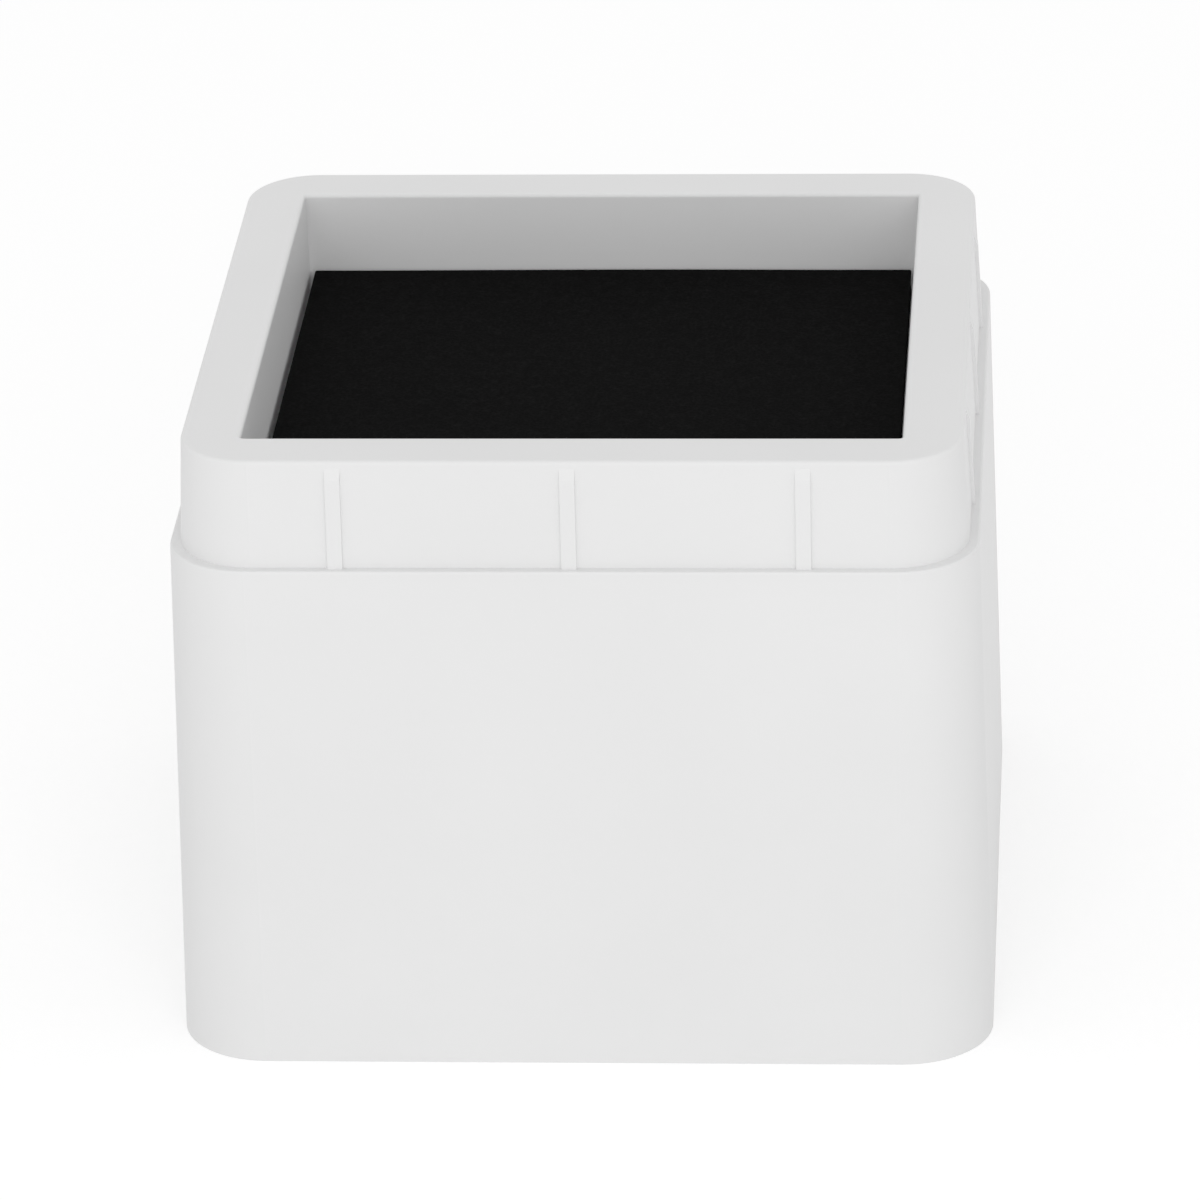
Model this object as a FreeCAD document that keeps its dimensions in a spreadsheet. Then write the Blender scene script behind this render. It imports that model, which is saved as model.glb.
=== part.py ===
# Square stacking bed riser: a drafted, hollow plastic shell with a collar, and a foam pad in its recess.
# The origin is on the floor, under the middle of the riser; +Z is up. Lengths are in millimetres.
import FreeCAD, Part
import Sketcher
import math
import os

# Driving dimensions: name, value and what it measures.
SIZES = [
    ("base_width", 110.8, "outside width of the skirt on the floor"),
    ("base_corner_radius", 12.2, "outside corner radius on the floor"),
    ("body_height", 72.4, "floor to shoulder"),
    ("skirt_taper", 1.4, "lean of each side wall from floor to shoulder"),
    ("wall_thickness", 2.1, "skirt, shoulder, collar and rim"),
    ("shoulder_round", 0.3, "radius along the shoulder"),
    ("collar_height", 15.0, "shoulder to rim"),
    ("collar_taper", 0.75, "lean of each collar wall from shoulder to rim"),
    ("collar_corner_radius", 10.4, "outside corner radius of the collar at the shoulder"),
    ("rim_round", 0.5, "radius along the outer edge of the rim"),
    ("rim_width", 8.05, "flat rim between collar and recess"),
    ("mouth_round", 0.6, "radius along the mouth of the recess"),
    ("recess_depth", 14.2, "rim to recess floor"),
    ("recess_taper", 0.3, "lean of each recess wall from rim to floor"),
    ("recess_corner_radius", 0.6, "inside corner radius of the recess"),
    ("recess_wall", 2.5, "thickness of the recess walls"),
    ("floor_thickness", 3.2, "thickness of the recess floor"),
    ("stack_clearance", 0.15, "gap from the grip ribs to the skirt of the next riser"),
    ("socket_headroom", 1.0, "gap from the rim to the bracing of the next riser"),
    ("brace_thickness", 2.4, "thickness of the bracing ribs"),
    ("brace_spacing", 35.4, "distance between the two bracing ribs of each direction"),
    ("grip_rib_proud", 0.45, "height of the grip ribs above the collar wall"),
    ("grip_rib_width", 2.0, "width of the grip ribs"),
    ("grip_rib_spacing", 31.0, "distance between neighbouring grip ribs"),
    ("grip_rib_top_gap", 1.0, "rim to the upper end of the grip ribs"),
    ("grip_rib_lead_in", 1.5, "height of the ramp at the upper end of the grip ribs"),
    ("pad_thickness", 3.0, "thickness of the foam pad"),
    ("pad_clearance", 0.8, "gap from the foam pad to the recess walls"),
]
SIDES = 4
BRACES_EACH_WAY = 2
BRACE_DIRECTIONS = 2
GRIP_RIBS_EACH_SIDE = 3
# Share of the shoulder's ledge that its rounded edge may take up.
LEDGE_SHARE = 0.9
# Two lengths closer than this are the same.
TOLERANCE = 1e-4

# Sizes that follow from the driving ones, as expressions on the sheet.
TOTAL_HEIGHT = "(sizes.body_height + sizes.collar_height)"
SHOULDER_UNDERSIDE = "(sizes.body_height - sizes.wall_thickness)"
RIM_UNDERSIDE = f"({TOTAL_HEIGHT} - sizes.wall_thickness)"
RECESS_FLOOR = f"({TOTAL_HEIGHT} - sizes.recess_depth)"
SOCKET_DEPTH = "(sizes.collar_height + sizes.socket_headroom)"
BASE_HALF = "(sizes.base_width / 2)"
SHOULDER_HALF = f"({BASE_HALF} - sizes.skirt_taper)"
COLLAR_HALF = f"({BASE_HALF} - sizes.wall_thickness - sizes.stack_clearance - sizes.grip_rib_proud)"
RIM_HALF = f"({COLLAR_HALF} - sizes.collar_taper)"
RECESS_HALF = f"({RIM_HALF} - sizes.rim_width)"
RECESS_FLOOR_HALF = f"({RECESS_HALF} - sizes.recess_taper)"
SHOULDER_ROUND = f"min(sizes.shoulder_round; {LEDGE_SHARE} * ({SHOULDER_HALF} - {COLLAR_HALF}))"

doc = FreeCAD.newDocument("bed_riser")


def fill_sheet():
    """Put the driving dimensions on the sheet, one row each."""
    sheet = doc.addObject("Spreadsheet::Sheet", "sizes")
    for row, (name, value, meaning) in enumerate(SIZES, start=1):
        sheet.set(f"A{row}", meaning)
        sheet.set(f"B{row}", str(value))
        sheet.setAlias(f"B{row}", name)
    doc.recompute()


def skirt_half(level):
    """Half width of the skirt's outside at a level above the floor."""
    return f"({BASE_HALF} - sizes.skirt_taper * {level} / sizes.body_height)"


def collar_half(level):
    """Half width of the collar's outside at a level above the floor."""
    return f"({COLLAR_HALF} - sizes.collar_taper * ({level} - sizes.body_height) / sizes.collar_height)"


def inside(half, corner):
    """Half width and corner radius of the inside of a wall, from those of its outside."""
    return f"({half} - sizes.wall_thickness)", f"({corner} - sizes.wall_thickness)"


def origin(body, role):
    """The plane or axis of the body's own origin that has this role."""
    return next(feature for feature in body.Origin.OriginFeatures if feature.Role == role)


def new_sketch(body, name, plane, offset):
    """An empty sketch on one of the body's origin planes, moved along its normal."""
    sketch = body.newObject("Sketcher::SketchObject", name)
    sketch.AttachmentSupport = [(origin(body, plane), "")]
    sketch.MapMode = "FlatFace"
    sketch.setExpression("AttachmentOffset.Base.z", offset)
    return sketch


def constrain(sketch, kind, *references):
    """A constraint of the sketch."""
    return sketch.addConstraint(Sketcher.Constraint(kind, *references))


def dimension(sketch, name, kind, references, expression):
    """A named dimension of the sketch that follows an expression."""
    index = constrain(sketch, kind, *references, float(sketch.evalExpression(expression)))
    sketch.renameConstraint(index, name)
    sketch.setExpression(f"Constraints.{name}", expression)


def rounded_square(body, name, level, half, corner):
    """A square with rounded corners, centred on the Z axis, at a level above the floor."""
    sketch = new_sketch(body, name, "XY_Plane", level)
    up = FreeCAD.Vector(0, 0, 1)
    reach = float(sketch.evalExpression(half))
    radius = float(sketch.evalExpression(corner))
    straight = reach - radius
    quarter = math.pi / 2
    lines = []
    arcs = []
    for side in range(SIDES):
        turn = FreeCAD.Rotation(up, 90 * side)
        start = turn.multVec(FreeCAD.Vector(reach, -straight, 0))
        end = turn.multVec(FreeCAD.Vector(reach, straight, 0))
        circle = Part.Circle(turn.multVec(FreeCAD.Vector(straight, straight, 0)), up, radius)
        lines.append(sketch.addGeometry(Part.LineSegment(start, end)))
        arcs.append(sketch.addGeometry(Part.ArcOfCircle(circle, side * quarter, (side + 1) * quarter)))
    for side in range(SIDES):
        constrain(sketch, "Vertical" if side % 2 == 0 else "Horizontal", lines[side])
        constrain(sketch, "Tangent", lines[side], 2, arcs[side], 1)
        constrain(sketch, "Tangent", arcs[side], 2, lines[(side + 1) % SIDES], 1)
    for arc in arcs[1:]:
        constrain(sketch, "Equal", arcs[0], arc)
    constrain(sketch, "Symmetric", arcs[0], 3, arcs[2], 3, -1, 1)
    dimension(sketch, "corner", "Radius", (arcs[0],), corner)
    dimension(sketch, "half_width", "DistanceX", (-1, 1, lines[0], 1), half)
    dimension(sketch, "half_depth", "DistanceY", (-1, 1, lines[1], 1), half)
    return sketch


def outline(body, name, plane, offset, corners):
    """A closed outline of straight lines, whose corners follow pairs of expressions."""
    sketch = new_sketch(body, name, plane, offset)
    points = [FreeCAD.Vector(*(float(sketch.evalExpression(place)) for place in corner)) for corner in corners]
    lines = []
    for start, end in zip(points, points[1:] + points[:1]):
        lines.append(sketch.addGeometry(Part.LineSegment(start, end)))
    for line, following, (across, above) in zip(lines, lines[1:] + lines[:1], corners):
        constrain(sketch, "Coincident", line, 2, following, 1)
        dimension(sketch, f"across_{line}", "DistanceX", (-1, 1, line, 1), across)
        dimension(sketch, f"above_{line}", "DistanceY", (-1, 1, line, 1), above)
    return sketch


def drafted_block(body, kind, name, lower, upper):
    """A loft between two rounded squares, each given by its level, half width and corner radius."""
    feature = body.newObject(f"PartDesign::{kind}", name)
    feature.Profile = rounded_square(body, f"{name}_lower", *lower)
    feature.Sections = [rounded_square(body, f"{name}_upper", *upper)]
    feature.Ruled = True
    doc.recompute()


def pad(body, name, sketch, length, midplane=False, down=False):
    """A sketch made solid along its normal: to one side, or evenly to both."""
    feature = body.newObject("PartDesign::Pad", name)
    feature.Profile = sketch
    feature.Midplane = midplane
    feature.Reversed = down
    feature.setExpression("Length", length)
    doc.recompute()
    return feature


def rounded_edge(body, name, level, half, radius):
    """A fillet along the edge that lies at this level and reaches this far from the middle."""
    base = body.Tip
    height = float(base.evalExpression(level))
    reach = float(base.evalExpression(half))
    edges = []
    for number, edge in enumerate(base.Shape.Edges, start=1):
        box = edge.BoundBox
        farthest = max(abs(box.XMin), abs(box.XMax), abs(box.YMin), abs(box.YMax))
        off = max(abs(box.ZMin - height), abs(box.ZMax - height), abs(farthest - reach))
        if off < TOLERANCE:
            edges.append(f"Edge{number}")
    feature = body.newObject("PartDesign::Fillet", name)
    feature.Base = (base, edges)
    feature.setExpression("Radius", radius)
    doc.recompute()


def spread(body, name, rib, count, spacing, turns, sweep):
    """Copies of a rib: a row of them along Y, and that row turned about the Z axis."""
    row = body.newObject("PartDesign::LinearPattern", f"{name}_row")
    row.Direction = (origin(body, "Y_Axis"), [""])
    row.Occurrences = count
    row.setExpression("Length", f"{spacing} * {count - 1}")
    turned = body.newObject("PartDesign::PolarPattern", f"{name}_turned")
    turned.Axis = (origin(body, "Z_Axis"), [""])
    turned.Occurrences = turns
    turned.Angle = sweep
    pattern = body.newObject("PartDesign::MultiTransform", name)
    pattern.Originals = [rib]
    pattern.Transformations = [row, turned]
    body.Tip = pattern
    doc.recompute()


def add_skirt_and_collar(body):
    """The drafted outside with its rounded edges, hollowed from below to an even wall."""
    skirt_foot = (BASE_HALF, "sizes.base_corner_radius")
    shoulder = (SHOULDER_HALF, "(sizes.base_corner_radius - sizes.skirt_taper)")
    collar_foot = (COLLAR_HALF, "sizes.collar_corner_radius")
    rim = (RIM_HALF, "(sizes.collar_corner_radius - sizes.collar_taper)")
    drafted_block(body, "AdditiveLoft", "skirt", ("0", *skirt_foot), ("sizes.body_height", *shoulder))
    drafted_block(body, "AdditiveLoft", "collar", ("sizes.body_height", *collar_foot), (TOTAL_HEIGHT, *rim))
    rounded_edge(body, "shoulder_edge", "sizes.body_height", SHOULDER_HALF, SHOULDER_ROUND)
    rounded_edge(body, "rim_edge", TOTAL_HEIGHT, RIM_HALF, "sizes.rim_round")
    drafted_block(body, "SubtractiveLoft", "skirt_hollow",
                  ("0", *inside(*skirt_foot)), (SHOULDER_UNDERSIDE, *inside(*shoulder)))
    drafted_block(body, "SubtractiveLoft", "collar_hollow",
                  (SHOULDER_UNDERSIDE, *inside(*collar_foot)), (RIM_UNDERSIDE, *inside(*rim)))


def add_recess(body):
    """A tub that hangs from the rim, and the recess in it with its rounded mouth."""
    corner = "sizes.recess_corner_radius"
    tub_outline = rounded_square(body, "tub_outline", TOTAL_HEIGHT,
                                 f"({RECESS_HALF} + sizes.recess_wall)", f"({corner} + sizes.recess_wall)")
    pad(body, "tub", tub_outline, "sizes.recess_depth + sizes.floor_thickness", down=True)
    drafted_block(body, "SubtractiveLoft", "recess",
                  (RECESS_FLOOR, RECESS_FLOOR_HALF, corner), (TOTAL_HEIGHT, RECESS_HALF, corner))
    rounded_edge(body, "mouth_edge", TOTAL_HEIGHT, RECESS_HALF, "sizes.mouth_round")


def add_bracing(body):
    """A grid of ribs from wall to wall under the recess, above the socket that takes the next riser's collar."""
    low_end = f"({skirt_half(SOCKET_DEPTH)} - sizes.wall_thickness / 2)"
    high_end = f"({SHOULDER_HALF} - sizes.wall_thickness / 2)"
    wall_top = "(sizes.body_height - sizes.wall_thickness / 2)"
    tub_end = f"({RECESS_HALF} + sizes.recess_wall / 2)"
    tub_top = f"({RECESS_FLOOR} - sizes.floor_thickness / 2)"
    right_half = [(low_end, SOCKET_DEPTH), (high_end, wall_top), (tub_end, wall_top), (tub_end, tub_top)]
    left_half = [(f"-{across}", above) for across, above in reversed(right_half)]
    side = outline(body, "brace_side", "XZ_Plane", "sizes.brace_spacing / 2", right_half + left_half)
    brace = pad(body, "brace", side, "sizes.brace_thickness", midplane=True)
    spread(body, "bracing", brace, BRACES_EACH_WAY, "sizes.brace_spacing", BRACE_DIRECTIONS, 90)


def add_grip_ribs(body):
    """Low upright ribs on the collar, each with a ramp at its upper end."""
    foot = SHOULDER_UNDERSIDE
    top = f"({TOTAL_HEIGHT} - sizes.grip_rib_top_gap)"
    ramp = f"({top} - sizes.grip_rib_lead_in)"
    side = outline(body, "grip_rib_side", "XZ_Plane", "sizes.grip_rib_spacing", [
        (f"{collar_half(foot)} - sizes.wall_thickness / 2", foot),
        (f"{collar_half(foot)} + sizes.grip_rib_proud", foot),
        (f"{collar_half(ramp)} + sizes.grip_rib_proud", ramp),
        (collar_half(top), top),
        (f"{collar_half(top)} - sizes.wall_thickness / 2", top)])
    rib = pad(body, "grip_rib", side, "sizes.grip_rib_width", midplane=True)
    spread(body, "grip_ribs", rib, GRIP_RIBS_EACH_SIDE, "sizes.grip_rib_spacing", SIDES, 360)


def make_riser_body():
    """The moulded shell."""
    body = doc.addObject("PartDesign::Body", "riser_body")
    add_skirt_and_collar(body)
    add_recess(body)
    add_bracing(body)
    add_grip_ribs(body)
    return body


def make_foam_pad():
    """The die-cut foam sheet on the recess floor."""
    body = doc.addObject("PartDesign::Body", "foam_pad")
    edge = f"({RECESS_FLOOR_HALF} - sizes.pad_clearance)"
    cut_line = outline(body, "cut_line", "XY_Plane", RECESS_FLOOR,
                       [(f"-{edge}", f"-{edge}"), (edge, f"-{edge}"), (edge, edge), (f"-{edge}", edge)])
    pad(body, "sheet", cut_line, "sizes.pad_thickness")
    return body


def check(bodies):
    """Stop if a feature failed, changed nothing, or left a shape that isn't one valid solid."""
    for item in doc.Objects:
        if "Invalid" in item.State or "Error" in item.State:
            raise RuntimeError(f"{item.Name} failed: {item.State}")
    for body in bodies:
        volume = 0.0
        for feature in body.Group:
            if not feature.isDerivedFrom("PartDesign::Feature") or feature.Shape.isNull():
                continue
            if abs(feature.Shape.Volume - volume) < TOLERANCE:
                raise RuntimeError(f"{feature.Name} changes nothing")
            volume = feature.Shape.Volume
        if body.Shape.isNull() or not body.Shape.isValid() or len(body.Shape.Solids) != 1:
            raise RuntimeError(f"{body.Label} isn't one valid solid")


def export(bodies):
    """Write each sub-part under its own name."""
    os.makedirs("parts", exist_ok=True)
    for body in bodies:
        body.Shape.exportStep(f"parts/{body.Label}.step")


fill_sheet()
sub_parts = [make_riser_body(), make_foam_pad()]
check(sub_parts)
export(sub_parts)
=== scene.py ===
# Square stacking bed riser, dressed for a studio picture: its moulded shell, its foam pad and the stage.
# All lengths are in metres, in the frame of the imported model: the floor is at zero height and +Z is up.
import math

import bmesh
import bpy
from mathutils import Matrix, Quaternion, Vector, noise


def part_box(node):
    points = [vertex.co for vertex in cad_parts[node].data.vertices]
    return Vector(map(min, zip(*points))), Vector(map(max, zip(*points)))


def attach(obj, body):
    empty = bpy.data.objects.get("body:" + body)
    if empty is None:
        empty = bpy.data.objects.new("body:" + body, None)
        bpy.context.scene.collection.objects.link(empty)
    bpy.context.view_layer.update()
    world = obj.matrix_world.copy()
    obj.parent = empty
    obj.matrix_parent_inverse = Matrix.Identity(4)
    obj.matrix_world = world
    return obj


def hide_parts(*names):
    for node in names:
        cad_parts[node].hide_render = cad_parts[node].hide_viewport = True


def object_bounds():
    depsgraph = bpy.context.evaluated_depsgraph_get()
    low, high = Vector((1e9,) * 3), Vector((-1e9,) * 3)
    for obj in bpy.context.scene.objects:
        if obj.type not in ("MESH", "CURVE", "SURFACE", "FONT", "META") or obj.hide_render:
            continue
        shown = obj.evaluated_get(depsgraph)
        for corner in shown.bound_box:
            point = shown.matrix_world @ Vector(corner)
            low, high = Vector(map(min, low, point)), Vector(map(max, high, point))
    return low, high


bl_info = {
    "name": "Bed Riser",
    "version": (1, 0, 0),
    "blender": (4, 5, 0),
    "location": "View3D > Sidebar > Bed Riser",
    "description": "Gives a stacking bed riser its finish, its foam pad and a plain studio",
    "category": "Object",
}

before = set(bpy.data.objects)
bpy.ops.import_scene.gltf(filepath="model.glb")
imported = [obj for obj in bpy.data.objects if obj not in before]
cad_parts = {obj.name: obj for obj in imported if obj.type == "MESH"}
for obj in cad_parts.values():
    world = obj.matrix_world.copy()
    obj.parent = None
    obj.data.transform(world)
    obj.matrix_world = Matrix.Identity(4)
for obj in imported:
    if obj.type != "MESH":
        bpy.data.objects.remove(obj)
CAD_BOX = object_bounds()
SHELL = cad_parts["riser_body"]
PAD_LOW, PAD_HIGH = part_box("foam_pad")
MIDDLE = (CAD_BOX[0] + CAD_BOX[1]) / 2
WIDTH = CAD_BOX[1].x - CAD_BOX[0].x
MM = 0.001
QUARTER_TURN = math.pi / 2
WHITE = (1.0, 1.0, 1.0, 1.0)
# The sockets that a Mix node uses when it mixes colours.
MIX_A, MIX_B, MIX_RESULT = 6, 7, 2

# The plastic: its index of refraction, the width of its clouds, the drift of its roughness and its grain.
ABS_IOR = 1.53
CLOUD_WIDTH = 38 * MM
SHEEN_DRIFT = 0.04
GRAIN_HEIGHT = 0.02 * MM
GRAIN_STRENGTH = 0.15

# The foam: its index of refraction, its dull surface, the width of its speckle and its cut cells.
EVA_IOR = 1.48
FOAM_ROUGHNESS = 0.9
FOAM_SPECULAR = 0.04
SPECKLE_WIDTH = 1.4 * MM
PIT_DEPTH = 0.05 * MM
PIT_STRENGTH = 0.35

# The foam sheet: how finely its sides, corners, upper edge and height are divided, and its slow waves.
SHEET_SIDE_STEPS = 28
SHEET_CORNER_STEPS = 4
SHEET_EDGE_STEPS = 4
SHEET_HEIGHT_STEPS = 6
SHEET_WAVE_LENGTH = 30 * MM

# The stage: the floor's reach from the middle, and the camera's sensor in millimetres.
FLOOR_REACH = 30 * WIDTH
SENSOR_WIDTH = 36.0

# The softbox: its side and its distance, its direction in degrees and its power in watts.
SOFTBOX_SIZE = 1.0
SOFTBOX_DISTANCE = 1.1
SOFTBOX_AZIMUTH = 4
SOFTBOX_ELEVATION = 12
SOFTBOX_POWER = 3.5


def linear(code):
    """An sRGB hex colour as the linear values that shaders take."""
    channels = [int(code[i:i + 2], 16) / 255 for i in (1, 3, 5)]
    return tuple(c / 12.92 if c <= 0.04045 else ((c + 0.055) / 1.055) ** 2.4 for c in channels)


def pattern_scale(width):
    """The texture scale that gives a pattern of this width."""
    return 1 / width


def colour_setting(name, description, code):
    """A colour that a user may change, from its hex value."""
    return bpy.props.FloatVectorProperty(
        name=name, description=description, subtype="COLOR", size=3, min=0, max=1, default=linear(code))


def length_setting(name, description, millimetres):
    """A length that a user may change, from its value in millimetres."""
    return bpy.props.FloatProperty(
        name=name, description=description, unit="LENGTH", min=0, default=millimetres * MM)


def angle_setting(name, description, degrees):
    """An angle that a user may change, from its value in degrees."""
    return bpy.props.FloatProperty(
        name=name, description=description, subtype="ANGLE", default=math.radians(degrees))


def share_setting(name, description, share):
    """A share from 0 to 1 that a user may change."""
    return bpy.props.FloatProperty(
        name=name, description=description, subtype="FACTOR", min=0, max=1, default=share)


class ShellSettings(bpy.types.PropertyGroup):
    """What a user would change on the moulded shell."""

    colour: colour_setting("Plastic", "Colour of the moulded plastic", "#EAEAEA")
    mottle: colour_setting("Mottle", "Colour that the plastic drifts towards in soft clouds", "#E4E4E4")
    roughness: share_setting("Roughness", "Roughness of the moulded skin", 0.5)
    grain: length_setting("Grain", "Width of the spark-eroded grain", 0.35)


class PadSettings(bpy.types.PropertyGroup):
    """What a user would change on the foam pad."""

    colour: colour_setting("Foam", "Colour of the foam", "#050505")
    # The cell walls' paler colour is a painted highlight that stands in for light catching them.
    wall_highlight: colour_setting("Fleck", "Colour of the cell walls that catch the light", "#1B1B1B")
    cell: length_setting("Cell", "Width of the foam's cells", 0.5)
    corner: length_setting("Corner", "Radius of the sheet's corners, more than that of its edge", 0.3)
    edge_round: length_setting("Edge round", "Radius of the upper edge, which the cutter presses down", 0.2)
    pinch: length_setting("Pinch", "How far the cut edge is drawn in at half its height", 0.15)
    wave: length_setting("Wave", "Height of the slow waves in the sheet", 0.1)


class StageSettings(bpy.types.PropertyGroup):
    """What a user would change on the stage."""

    azimuth: angle_setting("Azimuth", "Turn of the camera round the riser", 4.3)
    elevation: angle_setting("Elevation", "Height of the camera over the horizon", 24.5)
    roll: angle_setting("Roll", "Lean of the camera to its right", 1.7)
    distance: length_setting("Distance", "From the camera to the middle of the riser", 1050)
    fill: share_setting("Fill", "Share of the picture's width that the riser takes up", 0.66)
    floor_colour: colour_setting("Floor", "Colour of the floor", "#F4F4F4")
    floor_lift: share_setting("Floor lift", "White that the floor adds for the camera", 0.24)
    ambient: share_setting("Ambient", "Strength of the light from all round", 0.8)


def add_node(tree, kind, settings=None, inputs=None, links=None):
    """Add a node, set its properties and input values, and link its inputs to other nodes' outputs."""
    node = tree.nodes.new(kind)
    for name, value in (settings or {}).items():
        setattr(node, name, value)
    for name, value in (inputs or {}).items():
        node.inputs[name].default_value = value
    for name, (source, output) in (links or {}).items():
        tree.links.new(source.outputs[output], node.inputs[name])
    return node


def new_material(name):
    """An empty node material and its tree."""
    material = bpy.data.materials.new(name)
    material.use_nodes = True
    material.node_tree.nodes.clear()
    return material, material.node_tree


def opaque(colour):
    """A colour with full alpha."""
    return (*colour, 1.0)


# Injection-moulded ABS: an even, opaque white with a satin sheen that spreads round its corners.
def moulded_abs(settings):
    """White ABS from a spark-eroded mould, with a very fine grain and faint clouds from the moulding."""
    material, tree = new_material("moulded_white_abs")
    place = add_node(tree, "ShaderNodeTexCoord")
    cloud = add_node(tree, "ShaderNodeTexNoise",
                     inputs={"Scale": pattern_scale(CLOUD_WIDTH), "Detail": 3.0},
                     links={"Vector": (place, "Object")})
    tint = add_node(tree, "ShaderNodeMix", {"data_type": "RGBA"},
                    {MIX_A: opaque(settings.colour), MIX_B: opaque(settings.mottle)},
                    {"Factor": (cloud, "Fac")})
    sheen = add_node(tree, "ShaderNodeMapRange",
                     inputs={"To Min": settings.roughness - SHEEN_DRIFT,
                             "To Max": settings.roughness + SHEEN_DRIFT},
                     links={"Value": (cloud, "Fac")})
    # The real grain is about a tenth of a millimetre: it is drawn coarser, so that it shows at all.
    grain = add_node(tree, "ShaderNodeTexNoise",
                     inputs={"Scale": pattern_scale(settings.grain), "Detail": 2.0},
                     links={"Vector": (place, "Object")})
    skin = add_node(tree, "ShaderNodeBump", inputs={"Strength": GRAIN_STRENGTH, "Distance": GRAIN_HEIGHT},
                    links={"Height": (grain, "Fac")})
    plastic = add_node(tree, "ShaderNodeBsdfPrincipled", inputs={"IOR": ABS_IOR},
                       links={"Base Color": (tint, MIX_RESULT), "Roughness": (sheen, "Result"),
                              "Normal": (skin, "Normal")})
    add_node(tree, "ShaderNodeOutputMaterial", links={"Surface": (plastic, "BSDF")})
    return material


# Closed-cell EVA foam: a matt black that stays dark, broken up by fine cells.
def closed_cell_foam(settings):
    """Black EVA foam split from a block, with the cut cells showing as fine pits, and the cell walls paler as
    a painted highlight, flecked at random.
    """
    material, tree = new_material("closed_cell_eva_foam")
    place = add_node(tree, "ShaderNodeTexCoord")
    # Real cells are about a quarter of a millimetre wide: they are drawn coarser, so that they show.
    cells = add_node(tree, "ShaderNodeTexVoronoi", inputs={"Scale": pattern_scale(settings.cell)},
                     links={"Vector": (place, "Object")})
    speckle = add_node(tree, "ShaderNodeTexNoise",
                       inputs={"Scale": pattern_scale(SPECKLE_WIDTH), "Detail": 4.0},
                       links={"Vector": (place, "Object")})
    # Painted highlight: the cell walls are paler where light would catch them, flecked at random by the
    # speckle.
    walls = add_node(tree, "ShaderNodeMath", {"operation": "MULTIPLY"},
                     links={0: (cells, "Distance"), 1: (speckle, "Fac")})
    tint = add_node(tree, "ShaderNodeMix", {"data_type": "RGBA"},
                    {MIX_A: opaque(settings.colour), MIX_B: opaque(settings.wall_highlight)},
                    {"Factor": (walls, "Value")})
    pits = add_node(tree, "ShaderNodeBump", inputs={"Strength": PIT_STRENGTH, "Distance": PIT_DEPTH},
                    links={"Height": (cells, "Distance")})
    foam = add_node(tree, "ShaderNodeBsdfPrincipled",
                    inputs={"Roughness": FOAM_ROUGHNESS, "IOR": EVA_IOR, "Specular IOR Level": FOAM_SPECULAR},
                    links={"Base Color": (tint, MIX_RESULT), "Normal": (pits, "Normal")})
    add_node(tree, "ShaderNodeOutputMaterial", links={"Surface": (foam, "BSDF")})
    return material


def seen_directly(tree):
    """A node that gives 1 to the camera, reflections and clear materials, and 0 to scattered light."""
    ray = add_node(tree, "ShaderNodeLightPath")
    mirrored = add_node(tree, "ShaderNodeMath", {"operation": "MAXIMUM"},
                        links={0: (ray, "Is Camera Ray"), 1: (ray, "Is Glossy Ray")})
    return add_node(tree, "ShaderNodeMath", {"operation": "MAXIMUM"},
                    links={0: (mirrored, "Value"), 1: (ray, "Is Transmission Ray")})


# Seamless studio paper: matt and pale, lifted to the picture's white, with the riser's shadow kept on it.
def paper_floor(settings):
    """Matt white paper, with a little white added where the camera or a reflection sees it."""
    material, tree = new_material("seamless_paper")
    paper = add_node(tree, "ShaderNodeBsdfDiffuse", inputs={"Color": opaque(settings.floor_colour)})
    level = add_node(tree, "ShaderNodeMath", {"operation": "MULTIPLY"}, {1: settings.floor_lift},
                     {0: (seen_directly(tree), "Value")})
    lift = add_node(tree, "ShaderNodeEmission", inputs={"Color": WHITE}, links={"Strength": (level, "Value")})
    both = add_node(tree, "ShaderNodeAddShader", links={0: (paper, "BSDF"), 1: (lift, "Emission")})
    add_node(tree, "ShaderNodeOutputMaterial", links={"Surface": (both, "Shader")})
    return material


def sheet_outline(half, corner):
    """Points round the foam sheet, with its rounded corners: each a place and the way out of the sheet."""
    points = []
    straight = half - corner
    for side in range(4):
        turn = Quaternion((0, 0, 1), side * QUARTER_TURN)
        for k in range(SHEET_SIDE_STEPS):
            place = Vector((half, straight * (2 * k / SHEET_SIDE_STEPS - 1), 0))
            points.append((turn @ place, turn @ Vector((1, 0, 0))))
        for k in range(SHEET_CORNER_STEPS):
            angle = k / SHEET_CORNER_STEPS * QUARTER_TURN
            way = Vector((math.cos(angle), math.sin(angle), 0))
            points.append((turn @ (Vector((straight, straight, 0)) + way * corner), turn @ way))
    return points


def sheet_edge(settings, thick):
    """The sheet's edge from its top over the pressed rim to its underside: each step an inset and a depth."""
    rim = settings.edge_round
    steps = []
    for k in range(SHEET_EDGE_STEPS + 1):
        angle = k / SHEET_EDGE_STEPS * QUARTER_TURN
        steps.append((rim * (1 - math.sin(angle)), rim * (1 - math.cos(angle))))
    for k in range(1, SHEET_HEIGHT_STEPS + 1):
        share = k / SHEET_HEIGHT_STEPS
        steps.append((settings.pinch * math.sin(math.pi * share), rim + (thick - rim) * share))
    return steps


def bridge(sheet, inner, outer):
    """Join two loops of points with faces: quads, or triangles where one loop stays at a point."""
    for k in range(len(inner)):
        following = (k + 1) % len(inner)
        corners = [inner[k], outer[k], outer[following], inner[following]]
        sheet.faces.new(list(dict.fromkeys(corners)))


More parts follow.
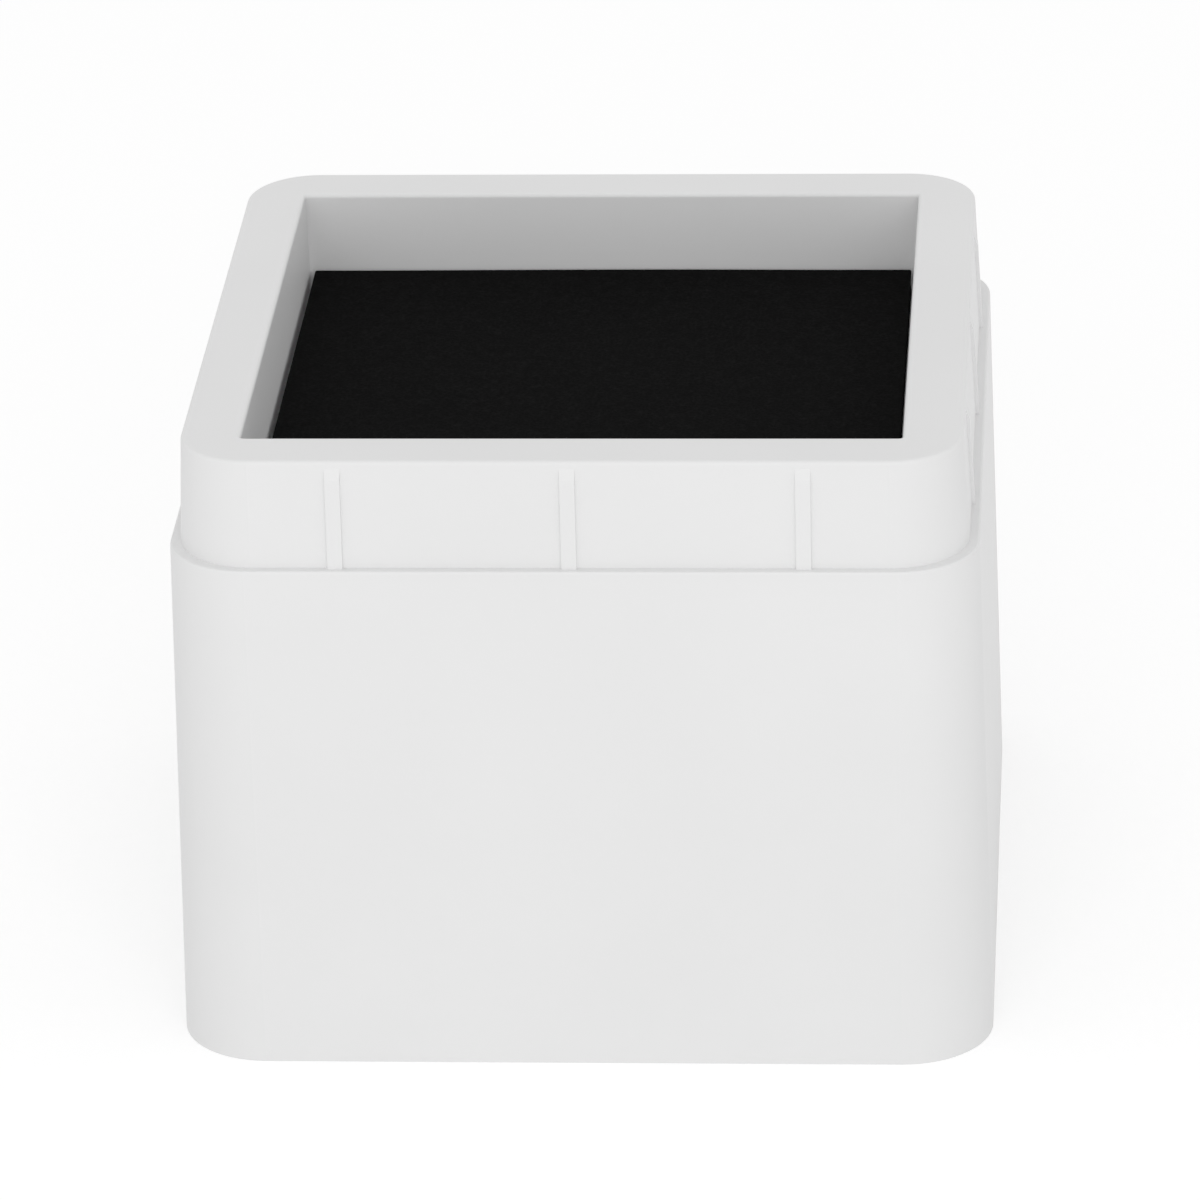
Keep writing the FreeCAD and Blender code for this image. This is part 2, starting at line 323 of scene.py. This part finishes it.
def foam_sheet_mesh(settings):
    """The die-cut sheet: a gently waved top, a pressed upper edge and sides drawn in by the cutter."""
    half = (PAD_HIGH.x - PAD_LOW.x) / 2
    thick = PAD_HIGH.z - PAD_LOW.z
    middle = (PAD_LOW + PAD_HIGH) / 2
    straight = half - settings.corner
    reach = straight - settings.edge_round
    outline = sheet_outline(half, settings.corner)
    sheet = bmesh.new()

    def add_point(flat, depth):
        """A point at a depth under the top, with the waves dying out towards the underside."""
        wave = settings.wave * noise.noise(flat * pattern_scale(SHEET_WAVE_LENGTH))
        height = PAD_HIGH.z - depth + wave * (1 - depth / thick)
        return sheet.verts.new((middle.x + flat.x, middle.y + flat.y, height))

    def add_face_grid(depth):
        """Fill the flat of one face with a grid, and give the loop of its border points along the outline."""
        steps = [reach * (2 * k / SHEET_SIDE_STEPS - 1) for k in range(SHEET_SIDE_STEPS + 1)]
        grid = [[add_point(Vector((x, y, 0)), depth) for y in steps] for x in steps]
        for i in range(SHEET_SIDE_STEPS):
            for j in range(SHEET_SIDE_STEPS):
                sheet.faces.new((grid[i][j], grid[i + 1][j], grid[i + 1][j + 1], grid[i][j + 1]))
        border = []
        for place, _ in outline:
            shares = [min(max(place[axis] / straight, -1), 1) for axis in (0, 1)]
            column, row = [round((share + 1) / 2 * SHEET_SIDE_STEPS) for share in shares]
            border.append(grid[column][row])
        return border

    previous = add_face_grid(0)
    for inset, depth in sheet_edge(settings, thick):
        loop = [add_point(place - way * inset, depth) for place, way in outline]
        bridge(sheet, previous, loop)
        previous = loop
    bridge(sheet, previous, add_face_grid(thick))
    for face in sheet.faces:
        face.smooth = True
    bmesh.ops.recalc_face_normals(sheet, faces=sheet.faces)
    mesh = bpy.data.meshes.new("foam_sheet")
    sheet.to_mesh(mesh)
    sheet.free()
    return mesh


class RISER_OT_finish_shell(bpy.types.Operator):
    """Give the moulded shell its plastic"""

    bl_idname = "riser.finish_shell"
    bl_label = "Finish the shell"

    def execute(self, context):
        settings = context.scene.riser_shell
        SHELL.data.materials.clear()
        SHELL.data.materials.append(moulded_abs(settings))
        return {"FINISHED"}


class RISER_OT_add_foam_pad(bpy.types.Operator):
    """Lay the foam pad on the floor of the recess"""

    bl_idname = "riser.add_foam_pad"
    bl_label = "Add the foam pad"

    def execute(self, context):
        settings = context.scene.riser_pad
        pad = bpy.data.objects.new("foam_sheet", foam_sheet_mesh(settings))
        context.scene.collection.objects.link(pad)
        pad.data.materials.append(closed_cell_foam(settings))
        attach(pad, "root")
        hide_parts("foam_pad")
        return {"FINISHED"}


def direction(azimuth, elevation):
    """The way from the riser towards a lamp or the camera; azimuth 0 is its front."""
    return Vector((math.sin(azimuth) * math.cos(elevation), -math.cos(azimuth) * math.cos(elevation),
                   math.sin(elevation)))


def add_floor(context, settings):
    """A wide floor at zero height."""
    reach = FLOOR_REACH
    mesh = bpy.data.meshes.new("floor")
    corners = [(-reach, -reach, 0), (reach, -reach, 0), (reach, reach, 0), (-reach, reach, 0)]
    mesh.from_pydata(corners, [], [(0, 1, 2, 3)])
    mesh.materials.append(paper_floor(settings))
    floor = bpy.data.objects.new("floor", mesh)
    context.scene.collection.objects.link(floor)


def add_softbox(context):
    """A large square lamp, low in front of the riser and looking at its middle."""
    back = direction(math.radians(SOFTBOX_AZIMUTH), math.radians(SOFTBOX_ELEVATION))
    lamp = bpy.data.lights.new("softbox", "AREA")
    lamp.shape = "SQUARE"
    lamp.size = SOFTBOX_SIZE
    lamp.energy = SOFTBOX_POWER
    softbox = bpy.data.objects.new("softbox", lamp)
    softbox.location = MIDDLE + back * SOFTBOX_DISTANCE
    softbox.rotation_mode = "QUATERNION"
    softbox.rotation_quaternion = back.to_track_quat("Z", "Y")
    context.scene.collection.objects.link(softbox)


def add_surroundings(context, settings):
    """White surroundings: a plain level of light on the riser, and the picture's white behind it."""
    world = bpy.data.worlds.new("studio")
    world.use_nodes = True
    tree = world.node_tree
    tree.nodes.clear()
    level = add_node(tree, "ShaderNodeMapRange", inputs={"To Min": settings.ambient, "To Max": 1.0},
                     links={"Value": (seen_directly(tree), "Value")})
    white = add_node(tree, "ShaderNodeBackground", inputs={"Color": WHITE},
                     links={"Strength": (level, "Result")})
    add_node(tree, "ShaderNodeOutputWorld", links={"Surface": (white, "Background")})
    context.scene.world = world


def add_camera(context, settings):
    """A camera at the photograph's viewing angle, aimed at the middle of the riser."""
    back = direction(settings.azimuth, settings.elevation)
    lens = bpy.data.cameras.new("camera")
    lens.sensor_width = SENSOR_WIDTH
    lens.lens = SENSOR_WIDTH * settings.fill * settings.distance / WIDTH
    camera = bpy.data.objects.new("camera", lens)
    camera.location = MIDDLE + back * settings.distance
    camera.rotation_mode = "QUATERNION"
    camera.rotation_quaternion = Quaternion(back, -settings.roll) @ back.to_track_quat("Z", "Y")
    context.scene.collection.objects.link(camera)
    context.scene.camera = camera


class RISER_OT_add_stage(bpy.types.Operator):
    """Set up the floor, the softbox, the surroundings and the camera"""

    bl_idname = "riser.add_stage"
    bl_label = "Add the stage"

    def execute(self, context):
        settings = context.scene.riser_stage
        add_floor(context, settings)
        add_softbox(context)
        add_surroundings(context, settings)
        add_camera(context, settings)
        context.scene.view_settings.view_transform = "Standard"
        return {"FINISHED"}


class RISER_PT_panel(bpy.types.Panel):
    """The riser's settings and operators"""

    bl_idname = "RISER_PT_panel"
    bl_label = "Bed Riser"
    bl_space_type = "VIEW_3D"
    bl_region_type = "UI"
    bl_category = "Bed Riser"

    def draw(self, context):
        for name, (group, operator) in SECTIONS.items():
            settings = getattr(context.scene, name)
            box = self.layout.box()
            for setting in group.__annotations__:
                box.prop(settings, setting)
            box.operator(operator.bl_idname)


# What the scene calls each group of settings, the group's class and the operator that uses it.
SECTIONS = {
    "riser_shell": (ShellSettings, RISER_OT_finish_shell),
    "riser_pad": (PadSettings, RISER_OT_add_foam_pad),
    "riser_stage": (StageSettings, RISER_OT_add_stage),
}
CLASSES = [cls for section in SECTIONS.values() for cls in section] + [RISER_PT_panel]


def register():
    """Register the classes, and give the scene its settings."""
    for cls in CLASSES:
        bpy.utils.register_class(cls)
    for name, (group, _) in SECTIONS.items():
        setattr(bpy.types.Scene, name, bpy.props.PointerProperty(type=group))


def unregister():
    """Take the settings and the classes away again."""
    for name in SECTIONS:
        delattr(bpy.types.Scene, name)
    for cls in reversed(CLASSES):
        bpy.utils.unregister_class(cls)


def main():
    """Dress the riser and set the stage."""
    register()
    bpy.ops.riser.finish_shell()
    bpy.ops.riser.add_foam_pad()
    bpy.ops.riser.add_stage()


if __name__ == "__main__":
    main()
